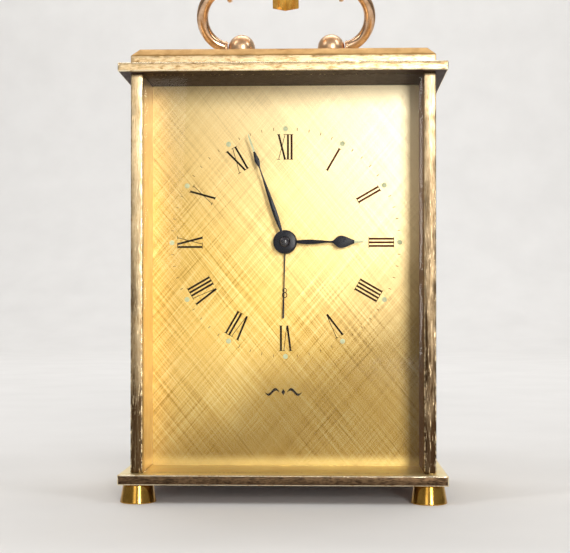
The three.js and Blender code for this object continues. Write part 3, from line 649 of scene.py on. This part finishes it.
def build_handle():
    """Arms and grip, modelled upright and then leaned as the handle leans at rest."""
    place = Matrix.Translation(PIVOT) @ Matrix.Rotation(REST_LEAN, 4, "X")
    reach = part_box("handle_post_right")[1].x + 0.5 * MM
    bend_x, bend, rod = 15.3 * MM, 8.7 * MM, 1.65 * MM
    sweep = math.pi / 2 - math.asin((reach - bend_x) / bend)

    def arm(work, side):
        count, around = 56, 32
        rings = []
        for i in range(count + 1):
            angle = sweep * (2 * i / count - 1)
            out = Vector((side * math.cos(angle), 0, math.sin(angle)))
            middle = Vector((side * bend_x, 0, bend)) + out * bend
            rings.append([work.verts.new(middle + out * rod * math.cos(a) + Vector((0, rod * math.sin(a), 0)))
                          for a in (2 * math.pi * k / around for k in range(around))])
        for one, two in zip(rings, rings[1:]):
            join_rings(work, one, two)
        work.faces.new(rings[0])
        work.faces.new(rings[-1])
        start = reach - 0.2 * MM
        collar = [(0, start), (1.8 * MM, start), (2.1 * MM, start + 0.15 * MM), (2.2 * MM, start + 0.4 * MM),
                  (2.1 * MM, start + 0.65 * MM), (1.8 * MM, start + 0.8 * MM), (0, start + 0.8 * MM)]
        made = lathe_into(work, collar, "x", segments=48)
        if side < 0:
            bmesh.ops.rotate(work, cent=(0, 0, 0), matrix=Matrix.Rotation(math.pi, 3, "Z"), verts=made)
        bmesh.ops.transform(work, matrix=place, verts=work.verts)

    for name, side in (("left", -1), ("right", 1)):
        mesh = mesh_from(lambda work, side=side: arm(work, side))
        finished(f"handle_arm_{name}", mesh, "handle", "handle", 50)

    bar = [(3.25, 3.2), (3.15, 4.2), (2.75, 5.6), (2.3, 7.6), (2.0, 9.8), (1.95, 11.8), (2.0, 13.2)]
    collar = [(2.1, 14.2), (2.6, 14.4), (2.6, 14.8), (3.3, 15.05), (4.0, 15.15), (4.24, 15.4), (4.3, 15.8),
              (4.24, 16.25), (4.0, 16.5), (3.4, 16.75), (2.2, 16.8)]
    half = smooth_profile(bar, 5) + collar
    end = collar[-1][1]
    outline = [(0, -end)] + [(r, -x) for r, x in reversed(half)] + [(r, x) for r, x in half] + [(0, end)]
    grip_place = place @ Matrix.Translation((0, 0, 2 * bend))

    def grip(work):
        made = lathe_into(work, scaled(outline), "x", segments=72)
        bmesh.ops.transform(work, matrix=grip_place, verts=made)
    piece("handle_grip_turned", mesh_from(grip), "handle", ("handle",),
          ("handle_grip",), 40)

    def block(work):
        corner_forwards = grip_place @ Matrix.Rotation(math.radians(45), 4, "Z")
        bmesh.ops.create_cube(work, size=1)
        bmesh.ops.scale(work, vec=(5.4 * MM, 5.4 * MM, 12.2 * MM), verts=work.verts)
        bmesh.ops.bevel(work, geom=work.edges[:], offset=0.22 * MM, segments=3, profile=0.5, affect="EDGES")
        bmesh.ops.transform(work, matrix=corner_forwards, verts=work.verts)
    piece("handle_centre_block", mesh_from(block), "handle", ("golden",))


# ---------------------------------------------------------------- dial printing

def on_dial(radius, angle, across=0.0):
    """A point on the dial, radius out at a clockwise angle, and moved sideways to the right."""
    c, s = math.cos(angle), math.sin(angle)
    return CENTRE.x + radius * s + across * c, CENTRE.z + radius * c - across * s


def prism(work, corners, front, back):
    """A thin flat prism between two levels of y; corners are [x, z]."""
    near = [work.verts.new((x, front, z)) for x, z in corners]
    far = [work.verts.new((x, back, z)) for x, z in corners]
    work.faces.new(near)
    work.faces.new(far[::-1])
    join_rings(work, near[::-1], far[::-1])


def stroke(work, angle, start, end, width, level=0.03):
    """A straight stroke between two [across, radius] points in a numeral's own upright frame."""
    way = Vector((end[0] - start[0], end[1] - start[1])).normalized()
    side = Vector((-way.y, way.x)) * (width / 2)
    corners = []
    for (across, radius), sign in ((start, 1), (start, -1), (end, -1), (end, 1)):
        corners.append(on_dial((radius + side.y * sign) * MM, angle, (across + side.x * sign) * MM))
    prism(work, corners, DIAL_FACE - level * MM, DIAL_FACE)


THICK, HAIR, SPACING = 0.56, 0.15, 1.02
NUMERAL_FOOT, NUMERAL_TOP = 23.5, 30.7
GLYPH_WIDTH = {"I": SPACING, "V": 2.55, "X": 2.45}


def draw_glyph(work, glyph, centre, angle):
    """One letter of a numeral, with thick and thin strokes and hairline serifs."""
    foot, top = NUMERAL_FOOT, NUMERAL_TOP
    low_serif, high_serif = foot + HAIR / 2, top - HAIR / 2
    half = GLYPH_WIDTH[glyph] / 2 - 0.3

    def serif(across, radius, width):
        stroke(work, angle, (across - width / 2, radius), (across + width / 2, radius), HAIR)

    if glyph == "I":
        stroke(work, angle, (centre, foot), (centre, top), THICK)
        serif(centre, low_serif, SPACING)
        serif(centre, high_serif, SPACING)
    elif glyph == "V":
        stroke(work, angle, (centre - half, top), (centre, foot), THICK)
        stroke(work, angle, (centre + half, top), (centre + 0.12, foot), HAIR * 1.15)
        serif(centre - half, high_serif, 1.0)
        serif(centre + half, high_serif, 0.8)
    else:
        stroke(work, angle, (centre - half, top), (centre + half, foot), THICK)
        stroke(work, angle, (centre + half, top), (centre - half, foot), HAIR * 1.15)
        for across in (-half, half):
            serif(centre + across, low_serif, 0.9)
            serif(centre + across, high_serif, 0.9)


def build_numerals():
    numerals = ["XII", "I", "II", "III", "IIII", "V", "VI", "VII", "VIII", "IX", "X", "XI"]

    def build(work):
        for hour, numeral in enumerate(numerals):
            angle = math.radians(30 * hour)
            across = -sum(GLYPH_WIDTH[glyph] for glyph in numeral) / 2
            for glyph in numeral:
                draw_glyph(work, glyph, across + GLYPH_WIDTH[glyph] / 2, angle)
                across += GLYPH_WIDTH[glyph]
    printed_piece("hour_numerals", build)


def build_minute_marks():
    ring = 32.25

    def build(work):
        for minute in range(60):
            if minute % 5:
                stroke(work, math.radians(6 * minute), (0, ring - 0.4), (0, ring + 0.4), 0.18, 0.02)
    printed_piece("minute_marks", build, "fine_ink")
    drop = [(0, 0), (0.72, 0), (0.72, 0.04), (0.58, 0.12), (0.3, 0.17), (0, 0.18)]

    def dots(work):
        for hour in range(12):
            x, z = on_dial(ring * MM, math.radians(30 * hour))
            lathe_into(work, [(r * MM, -y * MM) for r, y in drop], "y", (x, DIAL_FACE, z), 24)
    piece("hour_dots", mesh_from(dots), "case", ("luminous",), (), 50)


def build_small_figure():
    """The small figure eight that counts the days the spring runs."""
    def ring(work, x, z, outer, inner):
        count = 24
        for i in range(count):
            a, b = 2 * math.pi * i / count, 2 * math.pi * (i + 1) / count
            corners = [(x + r * math.sin(t), z + r * 1.12 * math.cos(t)) for r, t in
                       ((outer, a), (outer, b), (inner, b), (inner, a))]
            prism(work, corners, DIAL_FACE - 0.03 * MM, DIAL_FACE)

    def build(work):
        x, z = CENTRE.x - 0.2 * MM, CENTRE.z - 14.2 * MM
        ring(work, x, z + 0.62 * MM, 0.62 * MM, 0.42 * MM)
        ring(work, x, z - 0.66 * MM, 0.74 * MM, 0.5 * MM)
    printed_piece("small_figure", build)


def build_ornament():
    """A plain printed flourish: a lozenge between two tapering leaves."""
    def build(work):
        x, z = CENTRE.x - 0.6 * MM, CENTRE.z - 42.3 * MM
        tall, wide = 0.9 * MM, 0.55 * MM
        front = DIAL_FACE - 0.03 * MM
        prism(work, [(x, z + tall), (x + wide, z), (x, z - tall), (x - wide, z)], front, DIAL_FACE)
        for side in (-1, 1):
            count = 20
            rows = []
            for i in range(count + 1):
                t = i / count
                middle = Vector((x + side * (1.1 + 4.2 * t) * MM, z + 0.75 * math.sin(t * 2 * math.pi) * MM))
                rows.append((middle, (0.42 * math.sin(math.pi * min(1, t * 0.95 + 0.05)) + 0.04) * MM))
            for (a, wa), (b, wb) in zip(rows, rows[1:]):
                leaf = [(a.x, a.y + wa), (b.x, b.y + wb), (b.x, b.y - wb), (a.x, a.y - wa)]
                prism(work, leaf, front, DIAL_FACE)
    printed_piece("dial_ornament", build)


# ---------------------------------------------------------------- hands

HANDS = {
    "minute": {
        "body": "minute", "clockwise": -18.9, "hub": 3.2, "bore": 0, "lit_from": 26.6,
        "outline": [(0.3, 2.6), (0.55, 5.5), (0.67, 8.6), (0.5, 14), (0.24, 19), (0.21, 21.9), (0.5, 23),
                    (0.7, 24.1), (0.45, 25.6), (0.27, 26.8), (0.26, 28.5), (0.21, 30.8), (0.08, 32)],
    },
    "hour": {
        "body": "hour", "clockwise": 90, "hub": 3.35, "bore": 1.0, "lit_from": 19.4,
        "outline": [(0.35, 2.6), (0.6, 5.4), (0.65, 7.2), (0.46, 10), (0.26, 13), (0.75, 13.9), (1.5, 14.8),
                    (1.74, 15.7), (1.45, 17.1), (0.8, 18.6), (0.34, 19.9), (0.2, 21.3), (0.08, 22.3)],
    },
    "alarm": {
        "body": "alarm_indicator", "clockwise": 181.5, "hub": 2.95, "bore": 1.8, "lit_from": None,
        "outline": [(0.2, 2.4), (0.15, 8), (0.17, 15), (0.26, 20.4), (0.2, 21.5)],
    },
}


def hand_blade(work, outline, front, back, clockwise, lit_from):
    """A blade through [half width, along] points with a low ridge down the middle."""
    rows = smooth_profile(outline, 8)
    turn = math.radians(clockwise)
    made = []
    for width, along in rows:
        width = max(width, 0.03)
        ridge = front - 0.16 * MM * min(1, width / 0.7)
        ring = []
        for across, y in ((-width, back), (-width, front), (0, ridge), (width, front), (width, back)):
            x, z = on_dial(along * MM, turn, across * MM)
            ring.append(work.verts.new((x, y, z)))
        made.append(ring)
    for one, two, (_, along) in zip(made, made[1:], rows):
        faces = join_rings(work, one, two)
        if lit_from is not None and along >= lit_from:
            faces[1].material_index = faces[2].material_index = 1
    work.faces.new(made[0])
    work.faces.new(made[-1])


def build_hands():
    for name, shape in HANDS.items():
        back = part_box(f"{name}_hand")[1].y
        front = back - 0.4 * MM

        def build(work, shape=shape, front=front, back=back):
            hand_blade(work, shape["outline"], front, back, shape["clockwise"], shape["lit_from"])
            radius, bore, edge = shape["hub"] * MM, shape["bore"] * MM, 0.14 * MM
            ring = [(bore, front), (radius - edge * 2, front), (radius - edge, front + edge * 0.3),
                    (radius, front + edge), (radius, back), (bore, back)]
            if bore:
                ring.append((bore, front))
            lathe_into(work, ring, "y", (CENTRE.x, 0, CENTRE.z), 64)
        piece(f"{name}_hand_finished", mesh_from(build), shape["body"], ("hands", "luminous"),
              (f"{name}_hand",), 25)
    height = nut_high.y - nut_low.y
    dome = [(1.55 * MM * math.sin(a), nut_high.y - height * math.cos(a)) for a in
            (math.pi / 2 * i / 12 for i in range(13))]
    nut = lathe(dome + [(0, nut_high.y)], "y", (CENTRE.x, 0, CENTRE.z), 48)
    finished("hand_nut", nut, "minute", "nut", 60)


# ---------------------------------------------------------------- back of the clock

def build_rear_cover():
    outline = [(cover_low.x, cover_low.z), (cover_high.x, cover_low.z), (cover_high.x, cover_high.z),
               (cover_low.x, cover_high.z)]
    spots = [(joint_place("minute_turn"), 1.1), (joint_place("alarm_set_turn"), 1.1),
             (joint_place("time_barrel_turn"), 2.0), (joint_place("alarm_barrel_turn"), 2.0),
             (STOP_BUTTON, 2.5)]
    for name in ("lower_left", "lower_right", "upper_left", "upper_right"):
        spots.append((centre_of(f"cover_screw_{name}"), 1.2))
    holes = [circle_points((place.x, place.z), radius * MM) for place, radius in spots]
    reach, count = math.radians(27), 24
    sweep = [math.pi - reach + 2 * reach * i / count for i in range(count + 1)]
    slot = [(13.2, a) for a in sweep] + [(10.8, a) for a in reversed(sweep)]
    holes.append([(BALANCE.x + r * MM * math.cos(a), BALANCE.z + r * MM * math.sin(a)) for r, a in slot])
    mesh = sheet_mesh(outline, holes, cover_low.y, cover_high.y, 0.12 * MM)
    finished("rear_cover", mesh, "case", "cover", 40)
    build_rear_marks()


def rear_prism(work, corners):
    prism(work, corners, COVER_FACE, COVER_FACE + 0.03 * MM)


def arc_arrow(work, place, radius, start, end, width):
    """A printed arc with an arrow head at its end; angles in degrees, seen in x and z."""
    count = 20
    a, b = math.radians(start), math.radians(end)
    inner, outer = (radius - width / 2) * MM, (radius + width / 2) * MM
    for i in range(count):
        t0, t1 = a + (b - a) * i / count, a + (b - a) * (i + 1) / count
        rear_prism(work, [(place.x + r * math.cos(t), place.z + r * math.sin(t)) for r, t in
                          ((inner, t0), (outer, t0), (outer, t1), (inner, t1))])
    tip = b + math.copysign(2.0 / radius, b - a)
    rear_prism(work, [(place.x + r * MM * math.cos(t), place.z + r * MM * math.sin(t)) for r, t in
                      ((radius - 0.8, b), (radius + 0.8, b), (radius, tip))])


def build_rear_marks():
    """Printed direction arrows about the controls, and a scale for the regulator."""
    def build(work):
        for name in ("minute_turn", "alarm_set_turn"):
            arc_arrow(work, joint_place(name), 5.6, 15, -40, 0.3)
        for name in ("time_barrel_turn", "alarm_barrel_turn"):
            arc_arrow(work, joint_place(name), 8.6, 150, 60, 0.4)
        for i in range(-4, 5):
            angle = math.pi + math.radians(5.5 * i)
            inner, outer = 14.0, 15.6 if i % 4 == 0 else 14.9
            way = Vector((math.cos(angle), math.sin(angle)))
            side = Vector((-way.y, way.x)) * 0.11
            corners = (way * inner + side, way * outer + side, way * outer - side, way * inner - side)
            rear_prism(work, [(BALANCE.x + p.x * MM, BALANCE.z + p.y * MM) for p in corners])
        arm, half, lift = 0.8 * MM, 0.13 * MM, 8.4 * MM
        x, plus, minus = BALANCE.x - 15.2 * MM, BALANCE.z + lift, BALANCE.z - lift
        bars = [(arm, plus - half, plus + half), (half, plus + half, plus + arm),
                (half, plus - arm, plus - half), (arm, minus - half, minus + half)]
        for reach, low, high in bars:
            rear_prism(work, [(x - reach, low), (x + reach, low), (x + reach, high), (x - reach, high)])
    printed_piece("rear_marks", build, "fine_ink")


def build_knobs():
    for name, body in (("hand_set_knob", "minute"), ("alarm_set_knob", "alarm_setting")):
        low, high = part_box(name)
        start, end = low.y / MM, high.y / MM
        radius = (high.x - low.x) / 2 / MM
        middle = centre_of(name)
        profile = [(0, start), (radius - 0.7, start), (radius - 0.3, start + 0.3), (radius, start + 0.6, 1),
                   (radius, end - 0.6, 1), (radius - 0.3, end - 0.25, 0.4), (radius - 0.8, end, 0),
                   (2.2, end), (1.9, end - 0.3), (0, end - 0.3)]
        mesh = lathe(scaled(profile), "y", (middle.x, 0, middle.z), 192, 48, 0.28 * MM)
        finished(name, mesh, body, "key", 30)


def build_keys():
    """Winding keys: a turned flange and a lug with a cross pin, and a wing with rounded edges."""
    for name in ("time", "alarm"):
        low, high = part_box(f"{name}_key")
        axis = joint_place(f"{name}_wing_fold")
        start = COVER_FACE / MM + 0.3

        def key(work, low=low, high=high, axis=axis, start=start):
            flange = [(0, low.y / MM), (1.7, low.y / MM), (1.7, start), (3.4, start), (3.6, start + 0.2),
                      (3.6, start + 0.8), (3.4, start + 1.0), (0, start + 1.0)]
            lathe_into(work, scaled(flange), "y", (axis.x, 0, axis.z), 64)
            lug = [(-1.6, start + 0.9), (-1.6, high.y / MM - 0.5), (-1.1, high.y / MM), (1.1, high.y / MM),
                   (1.6, high.y / MM - 0.5), (1.6, start + 0.9)]
            sides = [[work.verts.new((axis.x + x * MM, y * MM, axis.z + z * MM)) for z, y in lug]
                     for x in (-1, 1)]
            work.faces.new(sides[0])
            work.faces.new(sides[1][::-1])
            join_rings(work, sides[0][::-1], sides[1][::-1])
        finished(f"{name}_key", mesh_from(key), f"{name}_winder", "key", 40)

        inside = 1.3
        bezier = []
        controls = [((2.6, 1), (3.2, -3), (6.4, -3.6), (6.4, -6.6)),
                    ((6.4, -6.6), (6.4, -10.4), (-6.4, -10.4), (-6.4, -6.6)),
                    ((-6.4, -6.6), (-6.4, -3.6), (-3.2, -3), (-2.6, 1))]
        for p0, p1, p2, p3 in controls:
            for i in range(16):
                t = i / 16
                weights = ((1 - t) ** 3, 3 * t * (1 - t) ** 2, 3 * t * t * (1 - t), t ** 3)
                bezier.append([sum(w * p[k] for w, p in zip(weights, (p0, p1, p2, p3))) for k in (0, 1)])
        outline = [(inside, 1), *bezier, (-2.6, 1), (-inside, 1), (-inside, -2.6), (inside, -2.6)]
        points = [(axis.x + x * MM, axis.z + z * MM) for x, z in outline]
        hole = circle_points((axis.x, axis.z - 6.3 * MM), 1.1 * MM, 32)
        wing = sheet_mesh(points, [hole], axis.y - 0.7 * MM, axis.y + 0.7 * MM, 0.25 * MM)

        def pin(work, wing=wing, axis=axis):
            work.from_mesh(wing)
            profile = [(0, -2.6), (0.45, -2.6), (0.6, -2.45), (0.6, 2.45), (0.45, 2.6), (0, 2.6)]
            lathe_into(work, scaled(profile), "x", axis, 32)
        piece(f"{name}_wing_finished", mesh_from(pin), f"{name}_wing", ("key",),
              (f"{name}_key_wing",), 40)


def build_screws():
    """Cheese-head screws with a slot, each turned to its own angle."""
    for name, turn in (("lower_left", 24), ("lower_right", -41), ("upper_left", 73), ("upper_right", 8)):
        node_name = f"cover_screw_{name}"
        low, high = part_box(node_name)
        middle = centre_of(node_name)
        axis = Vector((middle.x, 0, middle.z))

        def build(work, start=low.y, top=high.y, axis=axis, turn=math.radians(turn)):
            shank, radius, half_slot, depth = 0.9 * MM, 2.2 * MM, 0.28 * MM, 0.5 * MM
            profile = [(0, start), (shank, start), (shank, COVER_FACE), (radius, COVER_FACE),
                       (radius, top - 0.45 * MM), (radius - 0.15 * MM, top - 0.2 * MM),
                       (radius - 0.5 * MM, top), (0, top)]
            lathe_into(work, profile, "y", axis, 48)
            side = Vector((math.cos(turn), 0, math.sin(turn))).cross(Vector((0, 1, 0)))
            for sign in (-1, 1):
                cut_across(work, axis + side * half_slot * sign, side)
            for vertex in work.verts:
                if abs((vertex.co - axis).dot(side)) < half_slot / 2 and vertex.co.y > top - depth:
                    vertex.co.y = top - depth
        finished(node_name, mesh_from(build), "case", "steel")


def build_stop_button():
    low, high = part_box("alarm_stop_button")
    radius = (high.x - low.x) / 2 / MM
    end = high.y / MM
    profile = [(0, low.y / MM), (radius, low.y / MM), (radius, end - 1.4), (radius - 0.12, end - 1.3),
               (radius - 0.12, end - 1.1), (radius, end - 1.0), (radius, end - 0.5),
               (radius - 0.2, end - 0.2), (radius - 0.7, end - 0.04), (0, end)]
    mesh = lathe(scaled(profile), "y", (STOP_BUTTON.x, 0, STOP_BUTTON.z))
    finished("alarm_stop_button", mesh, "stop_button", "steel", 30)


def build_regulator():
    low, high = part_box("regulator_lever")
    front = low.y

    def build(work):
        back = front + 0.8 * MM
        ring = [(1.4 * MM, front), (3 * MM, front), (3 * MM, back), (1.4 * MM, back), (1.4 * MM, front)]
        lathe_into(work, ring, "y", (BALANCE.x, 0, BALANCE.z), 48)
        corners = [(-12.6, -0.45), (-2.4, -0.75), (-2.4, 0.75), (-12.6, 0.45)]
        prism(work, [(BALANCE.x + x * MM, BALANCE.z + z * MM) for x, z in corners], front, back)
        end = high.y / MM
        start = front / MM + 0.2
        tip = [(0, start), (0.8, start), (0.8, end - 0.4), (0.65, end - 0.12), (0.35, end), (0, end)]
        lathe_into(work, scaled(tip), "y", (BALANCE.x - 12 * MM, 0, BALANCE.z), 32)
    finished("regulator_lever", mesh_from(build), "regulator", "steel")


# ---------------------------------------------------------------- stage, light and camera

def build_stage():
    """A pale floor that bends up into a wall behind the clock."""
    def build(work):
        depth, height, bend, wide, near = 1.6, 1.4, 0.5, 5.0, -5.0
        path = [(near, 0)] + [(depth - bend + bend * math.sin(a), bend - bend * math.cos(a)) for a in
                              (math.pi / 2 * i / 16 for i in range(17))] + [(depth, height)]
        rows = [[work.verts.new((x, y, z)) for x in (-wide, wide)] for y, z in path]
        for one, two in zip(rows, rows[1:]):
            work.faces.new((one[0], one[1], two[1], two[0]))
    backdrop = bpy.data.objects.new("backdrop", mesh_from(build))
    bpy.context.scene.collection.objects.link(backdrop)
    backdrop.data.shade_smooth()
    material, tree = new_material("backdrop")
    paper = noise(tree, in_millimetres(tree, (0.02, 0.02, 0.02)), 4, 0.5)
    colour = ramp(tree, paper, [(0.3, (0.8, 0.79, 0.775)), (0.7, (0.84, 0.83, 0.815))])
    surface(tree, colour, 0.85, None, 0, 0.0)
    backdrop.data.materials.append(material)


def area_light(name, place, target, size, power, colour=(1, 1, 1)):
    data = bpy.data.lights.new(name, "AREA")
    data.shape = "RECTANGLE"
    data.size, data.size_y = size
    data.energy = power
    data.color = colour
    lamp = bpy.data.objects.new(name, data)
    lamp.location = place
    lamp.rotation_euler = (Vector(target) - Vector(place)).to_track_quat("-Z", "Y").to_euler()
    bpy.context.scene.collection.objects.link(lamp)


def build_lights():
    """One large window to the right of the camera, and weak lights for the sides, the top and the wall."""
    area_light("window", (0.27, -1.0, 0.2), (0, 0, 0.06), (0.2, 0.44), 4.9, (1, 0.985, 0.96))
    area_light("fill", (-0.3, -1.0, 0.3), (0, 0, 0.08), (0.3, 0.4), 0.6, (1, 0.97, 0.93))
    for side, x in (("left", -0.5), ("right", 0.5)):
        area_light(f"strip_{side}", (x, -0.3, 0.62), (0, 0, 0.12), (0.14, 0.5), 1)
    area_light("wall_wash", (0, 0.55, 1.3), (0, 1.6, 0.35), (1.8, 0.5), 12)
    area_light("overhead", (0, 0.2, 1.2), (0, 0, 0), (0.8, 0.6), 2)
    world = bpy.data.worlds.new("studio")
    bpy.context.scene.world = world
    world.use_nodes = True
    tree = world.node_tree
    background = tree.nodes["Background"]
    background.inputs["Color"].default_value = (0.97, 0.94, 0.91, 1)
    height = node(tree, "ShaderNodeSeparateXYZ", Vector=node(tree, "ShaderNodeTexCoord").outputs["Generated"])
    strength = spread(tree, height.outputs["Z"], -0.05, 0.85, 0.15, 0.5)
    join_socket(tree, background.inputs["Strength"], strength)


def build_camera():
    """A short telephoto lens, close to the clock and nearly level, as the photo was taken."""
    data = bpy.data.cameras.new("camera")
    data.sensor_width = 36
    data.lens = 72.057
    data.shift_x = -0.02158
    data.shift_y = 0.04807
    data.clip_start = 0.01
    camera = bpy.data.objects.new("camera", data)
    camera.location = (0.01276, -0.33, 0.05057)
    camera.rotation_euler = (math.radians(90 + 0.506), 0, math.radians(1.668))
    bpy.context.scene.collection.objects.link(camera)
    bpy.context.scene.camera = camera


dress_frame()
build_case()
build_feet()
build_posts()
build_handle()
build_numerals()
build_minute_marks()
build_small_figure()
build_ornament()
build_hands()
build_rear_cover()
build_knobs()
build_keys()
build_screws()
build_stop_button()
build_regulator()
build_stage()
build_lights()
build_camera()
bpy.context.scene.view_settings.view_transform = "Standard"
